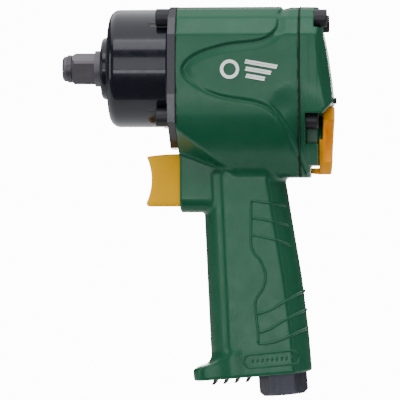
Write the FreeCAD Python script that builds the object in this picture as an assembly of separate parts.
import FreeCAD, Part
import math
import os

from FreeCAD import Vector

# Compact pneumatic impact wrench with a 1/2 inch square drive, in millimetres.
# The motor axis is the X axis. The drive points along -X, and the handle hangs along -Z.
# The origin is on the motor axis, at the tip of the square drive.

# ---- driving dimensions ----------------------------------------------------------------
DRIVE_SQUARE = 12.7
DRIVE_CORNER_R = 8.25
DRIVE_TURN_DEG = 24.0

CASE_R = 29.4
CASE_NOSE_X = 22.8
CASE_FRONT_X = 24.6
CASE_CAVITY_R = 26.0
FLANGE_X = (55.0, 58.6)
GASKET_T = 0.4

HOUSING_X = (59.0, 119.2)
MOTOR_BORE_R = 23.2
BODY_TOP_Z = 30.0
BODY_HALF_Y = 33.0
BODY_BOTTOM_Z = -54.7

COVER_X = HOUSING_X[1] + GASKET_T
COVER_BACK_X = 135.8
COVER_SHELF_X = 128.5
COVER_SLAB_X = 124.2

HANDLE_TILT_DEG = 5.0
HANDLE_FOOT = Vector(110.05, 0, -151.96)
HANDLE_HALF_Y = 16.5
INLET_HEX_AF = 21.0
INLET_THREAD_R = 6.1
INLET_THREAD_LENGTH = 14.0

TRIGGER_Z = -56.0
TRIGGER_PIN_R = 2.5
TRIGGER_GUIDE_R = 4.5

VALVE_Z = -36.3
VALVE_SPOOL_R = 8.0
VALVE_SLEEVE_R = 11.0
VALVE_FACE_X = 130.2
THROTTLE_PORT_X = 101.4
LEVER_R = 17.0
OIL_PLUG_Z = -16.3
OIL_PLUG_R = 1.2

BOLT_R = 2.5
BOLT_HEAD_R = 4.4
BOLT_HEAD_H = 5.0
WASHER_T = 1.3
FRONT_BOLTS = [(-23.0, 24.0), (23.0, 24.0), (-23.0, -25.0), (23.0, -25.0)]
REAR_TOP_BOLTS = [(-22.5, 23.4), (22.5, 23.4)]
REAR_LOW_BOLTS = [(-22.5, -26.6), (22.5, -26.6)]
REAR_TOP_SEAT_X = 126.5
REAR_LOW_SEAT_X = 122.3
FRONT_BOLT_END_X = 75.0
REAR_BOLT_END_X = 105.0

ROTOR_X = (69.6, 102.4)
ROTOR_R = 17.2
LINER_X = (69.5, 102.5)
LINER_BORE_R = 19.0
LINER_OFFSET = 1.7
VANE_COUNT = 6
FRONT_PLATE_X = (58.65, 69.5)
REAR_PLATE_X = (102.5, 112.5)
DOWEL_R = 1.25
DOWEL_Z = 20.2
EXHAUST_PORT_X = 108.0
EXHAUST_PORT_YS = (-5, 5)

HAMMER_X = (39.3, 50.3)
HAMMER_R = 23.3
HAMMER_PIN_R = 2.9
HAMMER_PIN_Z = 19.0
STOP_PIN_R = 2.5
STOP_PIN_Z = -19.3
FRAME_R = 24.6
FRAME_X = (37.4, 54.2)
JOURNAL_R = 9.0
NOSE_BUSHING_R = 12.5

FIT = 0.05          # clearance between pieces that are fixed together
RUN = 0.04          # radial clearance of a running fit


# ---- shape helpers ---------------------------------------------------------------------
def cylinder_x(x0, x1, radius, y=0.0, z=0.0):
    return Part.makeCylinder(radius, x1 - x0, Vector(x0, y, z), Vector(1, 0, 0))


def ring_x(x0, x1, outer, inner, y=0.0, z=0.0):
    return cylinder_x(x0, x1, outer, y, z).cut(cylinder_x(x0 - 1, x1 + 1, inner, y, z))


def cylinder_z(z0, z1, radius, x=0.0, y=0.0):
    return Part.makeCylinder(radius, z1 - z0, Vector(x, y, z0), Vector(0, 0, 1))


def ring_z(z0, z1, outer, inner):
    return cylinder_z(z0, z1, outer).cut(cylinder_z(z0 - 1, z1 + 1, inner))


def box(x, y, z):
    return Part.makeBox(x[1] - x[0], y[1] - y[0], z[1] - z[0], Vector(x[0], y[0], z[0]))


def both_sides(half_outline):
    """Closes a right-hand outline, listed from top to bottom, with its mirror image."""
    mirrored = [(-y, z) for y, z in reversed(half_outline) if y > 0]
    return half_outline + mirrored


def prism_x(outline, x0, x1):
    points = [Vector(x0, y, z) for y, z in outline]
    return Part.Face(Part.makePolygon(points + points[:1])).extrude(Vector(x1 - x0, 0, 0))


def prism_y(outline, half_width):
    points = [Vector(x, -half_width, z) for x, z in outline]
    return Part.Face(Part.makePolygon(points + points[:1])).extrude(Vector(0, 2 * half_width, 0))


def prism_z(outline, z0, z1):
    points = [Vector(x, y, z0) for x, y in outline]
    return Part.Face(Part.makePolygon(points + points[:1])).extrude(Vector(0, 0, z1 - z0))


def revolve_x(profile):
    """Turns a closed (x, radius) profile about the motor axis."""
    points = [Vector(x, 0, radius) for x, radius in profile]
    face = Part.Face(Part.makePolygon(points + points[:1]))
    return face.revolve(Vector(0, 0, 0), Vector(1, 0, 0), 360)


def revolve_z(profile):
    """Turns a closed (radius, z) profile about the Z axis."""
    points = [Vector(radius, 0, z) for radius, z in profile]
    face = Part.Face(Part.makePolygon(points + points[:1]))
    return face.revolve(Vector(0, 0, 0), Vector(0, 0, 1), 360)


def turned(shape, axis, degrees, about=Vector(0, 0, 0)):
    copy = shape.copy()
    copy.rotate(about, axis, degrees)
    return copy


def on_handle(shape):
    """Moves a shape from the handle's own frame, Z up its axis from its foot, into place."""
    placed = turned(shape, Vector(0, 1, 0), -HANDLE_TILT_DEG)
    placed.translate(HANDLE_FOOT)
    return placed


def joined(shapes):
    return shapes[0].multiFuse(shapes[1:]).removeSplitter()


def minus(shape, cutters):
    return shape.cut(Part.makeCompound(cutters)) if cutters else shape


def helix_spring(radius, wire_r, height, turns, sides=10):
    """A round-wire coil spring standing on Z = 0, made of short straight mitred lengths."""
    points = []
    for k in range(turns * sides + 1):
        angle = 2 * math.pi * k / sides
        rise = height * k / (turns * sides)
        points.append(Vector(radius * math.cos(angle), radius * math.sin(angle), rise))
    start = points[1] - points[0]
    section = Part.Wire(Part.makeCircle(wire_r, points[0], start))
    return Part.makePolygon(points).makePipeShell([section], True, False, 1)


def write(node, *solids):
    shape = solids[0] if len(solids) == 1 else Part.makeCompound(list(solids))
    shape.exportStep("parts/" + node + ".step")
    volume = sum(solid.Volume for solid in shape.Solids) / 1000.0
    print("%-28s %d solid(s) %9.3f cm3 valid %s" % (node, len(shape.Solids), volume, shape.isValid()))


# ---- body sections ---------------------------------------------------------------------
BODY_UPPER = [(0, BODY_TOP_Z), (12, BODY_TOP_Z), (23.5, 28.2), (28.5, 23.9), (32.5, 15.4), (BODY_HALF_Y, 8)]
BODY_LOWER = [(BODY_HALF_Y, -14), (30.5, -30), (25, -42), (17.5, -50)]
BODY_LOWER += [(15, BODY_BOTTOM_Z), (0, BODY_BOTTOM_Z)]
FLANGE_LOWER = [(BODY_HALF_Y, -14), (31.8, -27.5), (13.5, -40), (0, -40.75)]


def barrel():
    """The straight body, with a slanting facet under its front on each side."""
    body = prism_x(both_sides(BODY_UPPER + BODY_LOWER), *HOUSING_X)
    front = [(36, -26.4), (13, -42), (13, -60), (36, -60)]
    rear = [(36, -44.4), (15.5, -50.5), (15.5, -60), (36, -60)]
    for side in (-1, 1):
        ends = []
        for x, outline in ((HOUSING_X[0] - 0.1, front), (HOUSING_X[0] + 25, rear)):
            points = [Vector(x, side * y, z) for y, z in outline]
            ends.append(Part.makePolygon(points + points[:1]))
        body = body.cut(Part.makeLoft(ends, True, True))
    return body


def handle():
    """The grip, its flared foot and toe, and the round shoulder behind the trigger."""
    outline = [(-34.5, 0), (-34.5, 17), (-33.2, 50), (-31.8, 84), (-31, 104)]
    outline += [(9, 106), (10.5, 90), (11.6, 75), (13.9, 47), (14.9, 20), (14.9, 0)]
    side = prism_y(outline, HANDLE_HALF_Y)
    column = box((-36, 15), (-HANDLE_HALF_Y, HANDLE_HALF_Y), (0, 110))
    upright = [edge for edge in column.Edges if abs(edge.Vertexes[0].Z - edge.Vertexes[-1].Z) > 100]
    grip = column.makeFillet(9.0, upright).common(side)
    toe_outline = [(-43.9, 1.2), (-43.9, 6.0), (-42.5, 7.2), (-38.5, 8.2), (-35.6, 11.5), (-33, 17)]
    toe_outline += [(-20, 12), (-20, 0), (-42.5, 0)]
    toe = prism_y(toe_outline, HANDLE_HALF_Y - 4)
    return on_handle(joined([grip, toe]))


def trigger_boss():
    outline = [(59.5, -41), (59.5, -70), (61.5, -72), (75, -72), (82, -66), (82, -41)]
    return prism_y(outline, 13.0)


def bolt_holes(places, x0, x1, radius):
    return [cylinder_x(x0, x1, radius, y, z) for y, z in places]


def handle_bores():
    inlet = [cylinder_z(-1, 26, 10.5), cylinder_z(25, 79, 9.0), cylinder_z(78, 101, 7.6)]
    exhaust = [box((-29, -13.5), (-10, 10), (-1, 92)), box((-36.5, -13.5), (-11, 11), (-1, 4.2))]
    return [on_handle(cutter) for cutter in inlet + exhaust]


def housing():
    body = joined([barrel(), handle(), trigger_boss()])
    cutters = handle_bores()
    cutters.append(cylinder_x(HOUSING_X[0] - 1, HOUSING_X[1] + 1, MOTOR_BORE_R))
    cutters.append(cylinder_x(HOUSING_X[0] - 1, HOUSING_X[0] + 1.45, 27.0))
    cutters.append(box((75, 90), (-8, 8), (-70, -20)))
    cutters.append(cylinder_z(-57, -44, 4.5, THROTTLE_PORT_X))
    cutters.append(cylinder_x(97, HOUSING_X[1] + 1, VALVE_SLEEVE_R, 0, VALVE_Z))
    cutters.append(box((58, 67), (-8.4, 8.4), (-69.5, -42.4)))
    cutters.append(cylinder_x(66, 96.2, TRIGGER_GUIDE_R + FIT, 0, TRIGGER_Z))
    cutters.append(cylinder_x(96, 101, 3.2, 0, TRIGGER_Z))
    for y in EXHAUST_PORT_YS:
        cutters.append(cylinder_z(-32, -20, 2.2, EXHAUST_PORT_X, y))
    cutters += bolt_holes(FRONT_BOLTS, HOUSING_X[0] - 1, 76, BOLT_R + 0.02)
    cutters += bolt_holes(REAR_TOP_BOLTS + REAR_LOW_BOLTS, 104, HOUSING_X[1] + 1, BOLT_R + 0.02)
    return minus(body, cutters)


def rear_cover():
    """The back casting, with a bearing cap inside and the reverse valve's boss below."""
    section = prism_x(both_sides(BODY_UPPER + BODY_LOWER), COVER_X, COVER_BACK_X + 3)
    profile = [(COVER_X, 32), (126, 32), (129.6, 26), (130.4, 18), (132.5, 8), (134.6, -7)]
    profile += [(COVER_BACK_X, -17.6), (VALVE_FACE_X, -24), (VALVE_FACE_X, -38.1), (COVER_SHELF_X, -38.1)]
    profile += [(COVER_SHELF_X, -48.7), (COVER_SLAB_X, -48.7), (COVER_SLAB_X, -56), (COVER_X, -56)]
    shell = section.common(prism_y(profile, 40)).common(cover_sides())
    boss = cylinder_x(COVER_X, VALVE_FACE_X, 12.5, 0, VALVE_Z)
    spigot = ring_x(113, COVER_X + 1, MOTOR_BORE_R - FIT, 18.0)
    body = joined([shell, spigot])
    sweep = ring_x(COVER_SHELF_X, 140, LEVER_R + 0.9, 12.5, 0, VALVE_Z)
    foot_sweep = ring_x(COVER_SLAB_X, 140, LEVER_R + 0.9, 12.5, 0, VALVE_Z)
    foot_sweep = foot_sweep.common(box((120, 140), (-20, 20), (-60, -38.1)))
    body = joined([body.cut(sweep).cut(foot_sweep), boss])
    cutters = [cylinder_x(112, 125, 18.0)]
    cutters.append(cylinder_x(112, 131, VALVE_SPOOL_R + RUN, 0, VALVE_Z))
    cutters.append(cylinder_x(VALVE_FACE_X, 140, LEVER_R + 0.9, 0, VALVE_Z))
    cutters += bolt_holes(REAR_TOP_BOLTS + REAR_LOW_BOLTS, 112, 135, BOLT_R + 0.25)
    for side in (-1, 1):
        near, far = sorted((side * 17.3, side * 40))
        cutters.append(box((REAR_TOP_SEAT_X, 140), (near, far), (18.8, 40)))
        near, far = sorted((side * 13.6, side * 40))
        cutters.append(box((REAR_LOW_SEAT_X, 140), (near, far), (-38.1, -23.2)))
    cutters += bolt_holes(REAR_LOW_BOLTS, REAR_LOW_SEAT_X, 140, BOLT_HEAD_R + 0.35)
    cutters.append(cylinder_x(124, 140, OIL_PLUG_R + FIT, 0, OIL_PLUG_Z))
    cutters.append(cylinder_z(VALVE_Z + 7, VALVE_Z + 14.5, 1.6, 127))
    return minus(body, cutters)


def cover_sides():
    """The space between the two flanks, which turn in towards the back face as it leans out."""
    flank = [(126.2, 34), (131.0, 25), (140, 8)]
    lean = 4.8 / 35.0
    rings = []
    for z in (40.0, -60.0):
        shift = lean * (18.0 - z)
        half = [(110, 34)] + [(x + shift, y) for x, y in flank]
        points = [Vector(x, y, z) for x, y in half + [(x, -y) for x, y in reversed(half)]]
        rings.append(Part.makePolygon(points + points[:1]))
    return Part.makeLoft(rings, True, True)


def gasket(lower, x0, bore_r, places, extra):
    sheet = prism_x(both_sides(BODY_UPPER + lower), x0, x0 + GASKET_T)
    cutters = [cylinder_x(x0 - 1, x0 + 1, bore_r)] + extra
    cutters += bolt_holes(places, x0 - 1, x0 + 1, BOLT_R + 0.25)
    return minus(sheet, cutters)


def front_gasket():
    return gasket(FLANGE_LOWER, FLANGE_X[1], 27.0, FRONT_BOLTS, [])


def rear_gasket():
    x0 = HOUSING_X[1]
    valve = cylinder_x(x0 - 1, x0 + 1, VALVE_SLEEVE_R, 0, VALVE_Z)
    return gasket(BODY_LOWER, x0, MOTOR_BORE_R + FIT, REAR_TOP_BOLTS + REAR_LOW_BOLTS, [valve])


def hammer_case():
    """The nose cup, with its flange and the tongue that covers the housing's lower front."""
    outer = [(CASE_NOSE_X, 0), (CASE_NOSE_X, 15.4), (CASE_FRONT_X, CASE_R), (53.8, CASE_R)]
    outer.append((FLANGE_X[0], CASE_R + 1.2))
    cup = revolve_x(outer + [(FLANGE_X[0] + 1, CASE_R + 1.2), (FLANGE_X[0] + 1, 0)])
    corner = [edge for edge in cup.Edges if rim_at(edge, CASE_FRONT_X, CASE_R)]
    cup = cup.makeFillet(5.0, corner)
    flange = prism_x(both_sides(BODY_UPPER + FLANGE_LOWER), *FLANGE_X)
    body = joined([cup, flange])
    cavity = [(60, 0), (60, CASE_CAVITY_R), (31.5, CASE_CAVITY_R), (27.4, 21.5), (27.4, 16.5)]
    bore_r = NOSE_BUSHING_R + FIT
    cutters = [revolve_x(cavity + [(34.8, 16.5), (34.8, bore_r), (20, bore_r), (20, 0)])]
    cutters += bolt_holes(FRONT_BOLTS, 50, 60, BOLT_R + 0.25)
    cutters += bolt_holes(FRONT_BOLTS, 45, FLANGE_X[0], BOLT_HEAD_R + 0.35)
    return minus(body, cutters)


def rim_at(edge, x, radius):
    """True for a circular edge about the motor axis at this place."""
    first = edge.Vertexes[0].Point
    near_x = abs(edge.BoundBox.XMin - x) < 0.01 and abs(edge.BoundBox.XMax - x) < 0.01
    return near_x and abs(math.hypot(first.y, first.z) - radius) < 0.01


def nose_collar():
    collar = cylinder_x(19.8, CASE_NOSE_X - FIT, 15.5)
    rim = [edge for edge in collar.Edges if rim_at(edge, 19.8, 15.5)]
    collar = collar.makeFillet(1.8, rim)
    return minus(collar, [cylinder_x(19, 24, 9.5), cylinder_x(20.7, 24, 11.2)])


def anvil_bushing():
    return ring_x(CASE_NOSE_X, 34.8, NOSE_BUSHING_R, JOURNAL_R + RUN)


def anvil_seal():
    return ring_x(20.8, CASE_NOSE_X - 0.1, 11.15, JOURNAL_R + RUN)


# ---- fasteners -------------------------------------------------------------------------
def socket_bolt(seat_x, end_x, y, z, toward=1):
    """A socket head screw whose head faces -X when toward is 1, and +X when it is -1."""
    head = cylinder_x(-BOLT_HEAD_H, 0, BOLT_HEAD_R)
    rims = [edge for edge in head.Edges if rim_at(edge, -BOLT_HEAD_H, BOLT_HEAD_R)]
    head = head.makeFillet(0.6, rims)
    socket = prism_x(hexagon(4.0), -BOLT_HEAD_H - 1, -BOLT_HEAD_H + 2.5)
    length = abs(end_x - seat_x)
    screw = joined([head, cylinder_x(-0.5, length, BOLT_R)]).cut(socket)
    if toward < 0:
        screw = turned(screw, Vector(0, 0, 1), 180)
    screw.translate(Vector(seat_x, y, z))
    return screw


def hexagon(across_flats):
    radius = across_flats / math.sqrt(3.0)
    angles = [math.radians(60 * k) for k in range(6)]
    return [(radius * math.cos(a), radius * math.sin(a)) for a in angles]


def lock_washer(x0, y, z):
    washer = ring_x(x0, x0 + WASHER_T, BOLT_HEAD_R, BOLT_R + 0.15, y, z)
    gap = box((x0 - 1, x0 + WASHER_T + 1), (y - 0.4, y + 0.4), (z, z + 6))
    return washer.cut(turned(gap, Vector(1, 0, 0), 200, Vector(x0, y, z)))


def front_bolts():
    seat = FLANGE_X[0] - WASHER_T
    return [socket_bolt(seat, FRONT_BOLT_END_X, y, z) for y, z in FRONT_BOLTS]


def front_lock_washers():
    return [lock_washer(FLANGE_X[0] - WASHER_T, y, z) for y, z in FRONT_BOLTS]


def rear_bolts():
    bolts = [socket_bolt(REAR_TOP_SEAT_X + WASHER_T, REAR_BOLT_END_X, y, z, -1) for y, z in REAR_TOP_BOLTS]
    bolts += [socket_bolt(REAR_LOW_SEAT_X + WASHER_T, REAR_BOLT_END_X, y, z, -1) for y, z in REAR_LOW_BOLTS]
    return bolts


def rear_lock_washers():
    washers = [lock_washer(REAR_TOP_SEAT_X, y, z) for y, z in REAR_TOP_BOLTS]
    washers += [lock_washer(REAR_LOW_SEAT_X, y, z) for y, z in REAR_LOW_BOLTS]
    return washers


def oil_plug():
    head = cylinder_x(135.9, 137.0, 1.6, 0, OIL_PLUG_Z)
    plug = joined([cylinder_x(126, 136.0, OIL_PLUG_R, 0, OIL_PLUG_Z), head])
    socket = prism_x(hexagon(1.5), 136.3, 138)
    socket.translate(Vector(0, 0, OIL_PLUG_Z))
    return plug.cut(socket)


# ---- anvil -----------------------------------------------------------------------------
def anvil():
    """The output shaft: square drive, ring groove, journal, thrust collar and striking lugs."""
    half = DRIVE_SQUARE / 2.0
    square = box((4.9, 16.6), (-half, half), (-half, half))
    square = square.common(cylinder_x(4.9, 16.6, DRIVE_CORNER_R))
    nose_cone = revolve_x([(4.8, 0), (4.8, 7.0), (6.2, DRIVE_CORNER_R), (17, DRIVE_CORNER_R), (17, 0)])
    square = turned(square.common(nose_cone), Vector(1, 0, 0), DRIVE_TURN_DEG)
    turned_profile = [(0, 0), (0, 5.4), (0.9, 6.3), (2.3, 6.3), (2.3, 4.8), (4.7, 4.8), (4.7, 6.2)]
    turned_profile += [(5.2, 6.2), (5.2, 6.0), (16.4, 6.0), (16.4, JOURNAL_R), (35.1, JOURNAL_R)]
    turned_profile += [(35.1, 12.0), (37.0, 12.0), (37.0, 8.5), (50.4, 8.5)]
    turned_profile += [(50.4, 4.0), (54.0, 4.0), (54.0, 0)]
    shaft = revolve_x(turned_profile)
    lug_band = ring_x(HAMMER_X[0] + 0.4, HAMMER_X[1] - 0.4, 11.5, 8.0)
    lugs = lug_band.common(box((30, 60), (-3.9, 3.9), (-20, 20)))
    return joined([shaft, square, lugs])


def socket_retaining_ring():
    ring = ring_x(2.45, 4.55, 6.95, 5.8)
    return ring.cut(box((2, 5), (-0.7, 0.7), (0, 10)))


def retaining_o_ring():
    return Part.makeTorus(5.3, 0.45, Vector(3.5, 0, 0), Vector(1, 0, 0))


def anvil_thrust_washer():
    return ring_x(34.85, 35.05, 12.0, JOURNAL_R + RUN)


# ---- impact mechanism ------------------------------------------------------------------
def hammer():
    """The swinging ring, with two inner jaws, a pivot hole above and a stop notch below."""
    ring = ring_x(HAMMER_X[0], HAMMER_X[1], HAMMER_R, 14.0)
    jaw_band = ring_x(HAMMER_X[0], HAMMER_X[1], 14.6, 11.8)
    jaws = jaw_band.common(box((30, 60), (-20, 20), (-4.4, 4.4)))
    pivot = cylinder_x(30, 60, HAMMER_PIN_R + RUN, 0, HAMMER_PIN_Z)
    notch = box((30, 60), (-6.8, 6.8), (-30, -16.5))
    return joined([ring, jaws]).cut(Part.makeCompound([pivot, notch]))


def frame_pin_holes(x0, x1):
    return [
        cylinder_x(x0, x1, HAMMER_PIN_R + 0.01, 0, HAMMER_PIN_Z),
        cylinder_x(x0, x1, STOP_PIN_R + 0.01, 0, STOP_PIN_Z),
    ]


def hammer_frame_front():
    return minus(ring_x(FRAME_X[0], 39.0, FRAME_R, 12.6), frame_pin_holes(30, 60))


def hammer_frame_rear():
    plate = joined([cylinder_x(50.7, FRAME_X[1], FRAME_R), cylinder_x(54.0, 58.9, 9.5)])
    pilot = cylinder_x(50, 54.3, 4.0 + RUN)
    return minus(plate, frame_pin_holes(30, 60) + [pilot, spline(FRAME_X[1], 60, 0.03)])


def spline(x0, x1, grow=0.0):
    """An eight-tooth drive spline about the motor axis."""
    shapes = [cylinder_x(x0, x1, 4.7 + grow)]
    for k in range(8):
        tooth = box((x0, x1), (-0.9 - grow, 0.9 + grow), (3, 5.6 + grow))
        shapes.append(turned(tooth, Vector(1, 0, 0), 45 * k))
    return joined(shapes)


def hammer_pin():
    return cylinder_x(*FRAME_X, HAMMER_PIN_R, 0, HAMMER_PIN_Z)


def hammer_stop_pin():
    return cylinder_x(*FRAME_X, STOP_PIN_R, 0, STOP_PIN_Z)


# ---- air motor -------------------------------------------------------------------------
def rotor():
    core = cylinder_x(ROTOR_X[0], ROTOR_X[1], ROTOR_R)
    front = cylinder_x(59.3, ROTOR_X[0] + 0.1, 5.99)
    rear = cylinder_x(ROTOR_X[1] - 0.1, 113, 3.99)
    body = joined([core, front, rear, spline(54.6, 59.4)])
    slots = []
    for k in range(VANE_COUNT):
        slot = box((60, 110), (-1.3, 1.3), (9.2, 20)).common(cylinder_x(ROTOR_X[0] - 1, ROTOR_X[1] + 1, 19))
        slots.append(turned(slot, Vector(1, 0, 0), 360.0 / VANE_COUNT * k))
    return minus(body, slots)


def rotor_vanes():
    vanes = []
    for k in range(VANE_COUNT):
        vane = box((ROTOR_X[0] + 0.1, ROTOR_X[1] - 0.1), (-1.22, 1.22), (9.5, 17.0))
        vanes.append(turned(vane, Vector(1, 0, 0), 360.0 / VANE_COUNT * k))
    return vanes


def cylinder_liner():
    """The eccentric sleeve that the vanes sweep, closest to the rotor at the top."""
    liner = cylinder_x(LINER_X[0], LINER_X[1], MOTOR_BORE_R - FIT)
    cutters = [cylinder_x(LINER_X[0] - 1, LINER_X[1] + 1, LINER_BORE_R, 0, -LINER_OFFSET)]
    cutters.append(cylinder_x(60, 110, DOWEL_R + 0.02, 0, DOWEL_Z))
    for x in (77.5, 82.5, 87.5):
        for y in (-5.0, 0.0, 5.0):
            cutters.append(cylinder_z(-30, -15, 1.8, x, y))
    return minus(liner, cutters)


def liner_dowel_pin():
    return cylinder_x(66.6, 106, DOWEL_R, 0, DOWEL_Z)


def front_end_plate():
    """The motor's front wall, flanged so that the hammer case clamps it to the housing."""
    plate = cylinder_x(FRONT_PLATE_X[0], FRONT_PLATE_X[1], MOTOR_BORE_R - FIT)
    flange = cylinder_x(FRONT_PLATE_X[0], FRONT_PLATE_X[0] + 1.75, 26.9)
    cutters = [cylinder_x(50, 80, 6.6), cylinder_x(50, 66.5, 14.0 + 0.01)]
    cutters.append(cylinder_x(66, 80, DOWEL_R + 0.02, 0, DOWEL_Z))
    return minus(joined([plate, flange]), cutters)


def rear_end_plate():
    plate = cylinder_x(REAR_PLATE_X[0], REAR_PLATE_X[1], MOTOR_BORE_R - FIT)
    cutters = [cylinder_x(100, 120, 4.6), cylinder_x(105.5, 120, 11.0 + 0.01)]
    cutters.append(cylinder_x(100, 107, DOWEL_R + 0.02, 0, DOWEL_Z))
    for y in EXHAUST_PORT_YS:
        cutters.append(cylinder_z(-30, -15, 2.2, EXHAUST_PORT_X, y))
    return minus(plate, cutters)


class Bearing:
    """A deep-groove ball bearing about the motor axis."""

    def __init__(self, x0, x1, bore_r, outer_r, ball_r, count):
        self.x0 = x0
        self.x1 = x1
        self.bore_r = bore_r
        self.outer_r = outer_r
        self.ball_r = ball_r
        self.count = count
        self.pitch_r = (bore_r + outer_r) / 2.0
        self.middle = Vector((x0 + x1) / 2.0, 0, 0)

    def track(self):
        return Part.makeTorus(self.pitch_r, self.ball_r + 0.03, self.middle, Vector(1, 0, 0))

    def outer_race(self):
        inner = self.pitch_r + 0.62 * self.ball_r
        return ring_x(self.x0, self.x1, self.outer_r, inner).cut(self.track())

    def inner_race(self):
        outer = self.pitch_r - 0.62 * self.ball_r
        return ring_x(self.x0, self.x1, outer, self.bore_r).cut(self.track())

    def ball_places(self):
        places = []
        for k in range(self.count):
            angle = 2 * math.pi * k / self.count
            offset = Vector(0, self.pitch_r * math.cos(angle), self.pitch_r * math.sin(angle))
            places.append(self.middle + offset)
        return places

    def balls(self):
        return [Part.makeSphere(self.ball_r, place) for place in self.ball_places()]

    def cage(self):
        half = self.ball_r * 1.25
        wall = 0.32 * self.ball_r
        ring = ring_x(self.middle.x - half, self.middle.x + half, self.pitch_r + wall, self.pitch_r - wall)
        pockets = [Part.makeSphere(self.ball_r + 0.06, place) for place in self.ball_places()]
        return minus(ring, pockets)


FRONT_BEARING = Bearing(59.5, 66.5, 6.0, 14.0, 2.38, 9)
REAR_BEARING = Bearing(105.5, 112.5, 4.0, 11.0, 1.98, 8)


# ---- trigger and throttle --------------------------------------------------------------
def trigger():
    """The finger lever: a hollow front face, and a tongue that slides into the housing."""
    top = Vector(42.2, 0, -43.6)
    waist = Vector(45.1, 0, -54.8)
    bottom = Vector(43.0, 0, -67.2)
    corners = [bottom, Vector(44.6, 0, -69.1), Vector(61.2, 0, -69.1), Vector(61.2, 0, -42.8)]
    corners += [Vector(43.0, 0, -42.8), top]
    edges = [Part.Arc(top, waist, bottom).toShape()]
    edges += [Part.makeLine(a, b) for a, b in zip(corners, corners[1:])]
    face = Part.Face(Part.Wire(Part.__sortEdges__(edges)))
    face.translate(Vector(0, -8, 0))
    blade = face.extrude(Vector(0, 16, 0))
    plan = [(40, 5.6), (42.5, 7.2), (45.5, 8), (62, 8)]
    plan += [(x, -y) for x, y in reversed(plan)]
    blade = blade.common(prism_z(plan, -75, -40))
    return blade.cut(cylinder_x(50, 62, TRIGGER_PIN_R + 0.01, 0, TRIGGER_Z))


def trigger_pin():
    return cylinder_x(50.1, 99.3, TRIGGER_PIN_R, 0, TRIGGER_Z)


def trigger_bushing():
    sleeve = ring_x(67.2, 96.0, TRIGGER_GUIDE_R, TRIGGER_PIN_R + RUN, 0, TRIGGER_Z)
    return sleeve.cut(cylinder_x(89.9, 91.7, 3.95, 0, TRIGGER_Z))


def trigger_seal():
    return ring_x(90.0, 91.6, 3.9, TRIGGER_PIN_R + RUN, 0, TRIGGER_Z)


def throttle_valve_seat():
    return on_handle(ring_z(74.6, 78.9, 8.95, 5.2))


def throttle_valve():
    """The tilting valve: a disc that air holds on its seat, and a stem that the pin pushes."""
    disc = revolve_z([(0, 72.1), (6.4, 72.1), (7.0, 72.8), (7.0, 74.55), (0, 74.55)])
    stem = cylinder_z(74.0, 98.6, 2.0)
    tip = Part.makeSphere(2.0, Vector(0, 0, 98.6))
    return on_handle(joined([disc, stem, tip]))


def throttle_spring():
    spring = helix_spring(5.0, 0.5, 25.0, 6)
    spring.translate(Vector(0, 0, 46.0))
    return on_handle(spring)


# ---- air inlet and exhaust -------------------------------------------------------------
def inlet_screen():
    cup = ring_z(27.0, 45.0, 7.4, 6.7)
    lid = cylinder_z(44.3, 45.2, 7.4)
    rim = ring_z(26.05, 27.2, 8.9, 6.7)
    holes = []
    for level in range(4):
        for k in range(4):
            hole = Part.makeCylinder(1.1, 20, Vector(-10, 0, 30.0 + 3.6 * level), Vector(1, 0, 0))
            holes.append(turned(hole, Vector(0, 0, 1), 45 * k + 22.5 * (level % 2)))
    return on_handle(minus(joined([cup, lid, rim]), holes))


def inlet_bushing():
    """The hexagonal air fitting, with a pipe-threaded mouth, screwed into the handle."""
    hexagonal = prism_z(hexagon(INLET_HEX_AF), -10.6, -0.02)
    corner_r = INLET_HEX_AF / math.sqrt(3.0)
    turned_blank = revolve_z([(0, -10.6), (10.3, -10.6), (corner_r, -8.8), (corner_r, -0.02), (0, -0.02)])
    shank = cylinder_z(-0.1, 25.95, 10.45)
    body = joined([hexagonal.common(turned_blank), shank])
    bore = [cylinder_z(-11, -10.6 + INLET_THREAD_LENGTH, INLET_THREAD_R), cylinder_z(0, 30, 4.6)]
    groove = ring_z(4.0, 6.2, 12.0, 9.0)
    return on_handle(minus(body, bore + [groove]))


def inlet_o_ring():
    return on_handle(Part.makeTorus(9.72, 0.7, Vector(0, 0, 5.1), Vector(0, 0, 1)))


def exhaust_deflector():
    """A slotted plate in the handle's foot, with four raked fins below it."""
    plate = box((-36.4, -13.6), (-10.9, 10.9), (0.3, 4.1))
    slots = []
    fins = []
    for k in range(4):
        depth = -33.7 + 5.55 * k
        outline = [(depth - 1.4, -2.6), (depth + 0.1, -2.6), (depth + 2.2, 1.0), (depth + 0.4, 1.0)]
        fins.append(prism_y(outline, 9.5))
    for k in range(3):
        centre = -30.5 + 5.55 * k
        slots.append(box((centre - 1.2, centre + 1.2), (-9.0, 9.0), (-1, 5)))
    return on_handle(joined([minus(plate, slots)] + fins))


def exhaust_muffler():
    return on_handle(box((-28.9, -13.6), (-9.9, 9.9), (4.4, 24.0)))


# ---- reverse valve ---------------------------------------------------------------------
def reverse_valve_sleeve():
    sleeve = ring_x(97.1, HOUSING_X[1] + 0.3, VALVE_SLEEVE_R - FIT, VALVE_SPOOL_R + RUN, 0, VALVE_Z)
    ports = [cylinder_z(-57, VALVE_Z, 3.5, THROTTLE_PORT_X)]
    for y in EXHAUST_PORT_YS:
        ports.append(cylinder_z(VALVE_Z, -20, 2.0, EXHAUST_PORT_X, y))
    return minus(sleeve, ports)


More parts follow.
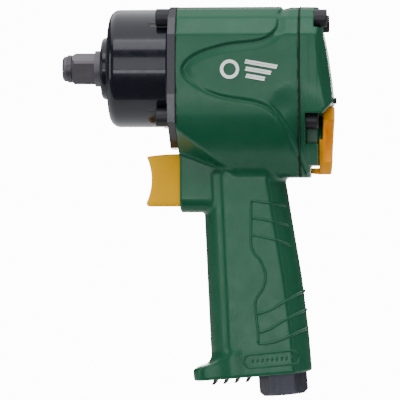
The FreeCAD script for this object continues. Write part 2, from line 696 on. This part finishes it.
def reverse_valve_spool():
    """The hollow rotary valve that the lever turns, with its square tail behind the cover."""
    spool = cylinder_x(97.4, VALVE_FACE_X + FIT, VALVE_SPOOL_R, 0, VALVE_Z)
    tail = box((130.0, 132.9), (-3.5, 3.5), (VALVE_Z - 3.5, VALVE_Z + 3.5))
    detent_track = Part.makeTorus(9.2, 1.7, Vector(127, 0, VALVE_Z), Vector(1, 0, 0))
    cutters = [cylinder_x(90, 116, 5.0, 0, VALVE_Z), detent_track]
    cutters.append(cylinder_z(-57, VALVE_Z, 3.5, THROTTLE_PORT_X))
    cutters.append(cylinder_z(VALVE_Z, -20, 3.0, EXHAUST_PORT_X))
    cutters.append(cylinder_x(124, 134, 1.65, 0, VALVE_Z))
    return minus(joined([spool, tail]), cutters)


def detent_ball():
    return Part.makeSphere(1.5, Vector(127, 0, VALVE_Z + 9.2))


def detent_spring():
    spring = helix_spring(1.05, 0.22, 2.6, 4)
    spring.translate(Vector(127, 0, VALVE_Z + 11.2))
    return spring


def reverse_lever():
    """The thumb lever: a disc hollowed at both sides, a skirt round the boss, and a foot below."""
    disc = cylinder_x(VALVE_FACE_X + 0.25, 136.6, LEVER_R, 0, VALVE_Z)
    skirt = ring_x(COVER_SHELF_X + 0.25, VALVE_FACE_X + 0.3, LEVER_R, 13.2, 0, VALVE_Z)
    skirt = skirt.common(box((120, 140), (-20, 20), (-60, VALVE_Z + 0.5)))
    foot_outline = [(124.7, -49.9), (124.7, -52.6), (129.0, -53.2), (134.7, -48.6)]
    foot_outline += [(134.7, -44), (130.5, -44), (130.5, -49.9)]
    foot = prism_y(foot_outline, 6.0)
    body = joined([disc, skirt, foot])
    lean = prism_y([(136.1, -15), (136.1, -19.5), (134.75, -44.8), (134.75, -60), (140, -60), (140, -15)], 20)
    cutters = [lean]
    cutters += [cylinder_x(131.7, 140, 12.5, side * 20.5, VALVE_Z - 0.5) for side in (-1, 1)]
    cutters.append(box((120, 140), (-20, 20), (VALVE_Z - 30, VALVE_Z - LEVER_R + 0.1)))
    hole = box((130, 133), (-3.55, 3.55), (VALVE_Z - 3.55, VALVE_Z + 3.55))
    cutters += [hole, cylinder_x(130, 136, 2.1, 0, VALVE_Z), cylinder_x(133.2, 140, 3.7, 0, VALVE_Z)]
    return minus(body, cutters)


def reverse_lever_screw():
    head = cylinder_x(133.25, 134.6, 3.4, 0, VALVE_Z)
    shank = cylinder_x(124.5, 133.3, 1.6, 0, VALVE_Z)
    socket = prism_x(hexagon(2.5), 133.9, 138)
    socket.translate(Vector(0, 0, VALVE_Z))
    return joined([head, shank]).cut(socket)


# ---- output ----------------------------------------------------------------------------
SINGLE_PIECES = [
    housing, rear_cover, hammer_case, front_gasket, rear_gasket, nose_collar, anvil_bushing, anvil_seal,
    oil_plug, anvil, socket_retaining_ring, retaining_o_ring, anvil_thrust_washer, hammer,
    hammer_frame_front, hammer_frame_rear, hammer_pin, hammer_stop_pin, rotor, cylinder_liner,
    liner_dowel_pin, front_end_plate, rear_end_plate, trigger, trigger_pin, trigger_bushing, trigger_seal,
    throttle_valve_seat, throttle_valve, throttle_spring, inlet_screen, inlet_bushing, inlet_o_ring,
    exhaust_deflector, exhaust_muffler, reverse_valve_sleeve, reverse_valve_spool, detent_ball,
    detent_spring, reverse_lever, reverse_lever_screw,
]
GROUPS = [front_bolts, front_lock_washers, rear_bolts, rear_lock_washers, rotor_vanes]

os.makedirs("parts", exist_ok=True)
for piece in SINGLE_PIECES:
    write(piece.__name__, piece())
for group in GROUPS:
    write(group.__name__, *group())
for name, bearing in (("front_bearing", FRONT_BEARING), ("rear_bearing", REAR_BEARING)):
    write(name + "_outer_race", bearing.outer_race())
    write(name + "_inner_race", bearing.inner_race())
    write(name + "_cage", bearing.cage())
    write(name + "_balls", *bearing.balls())
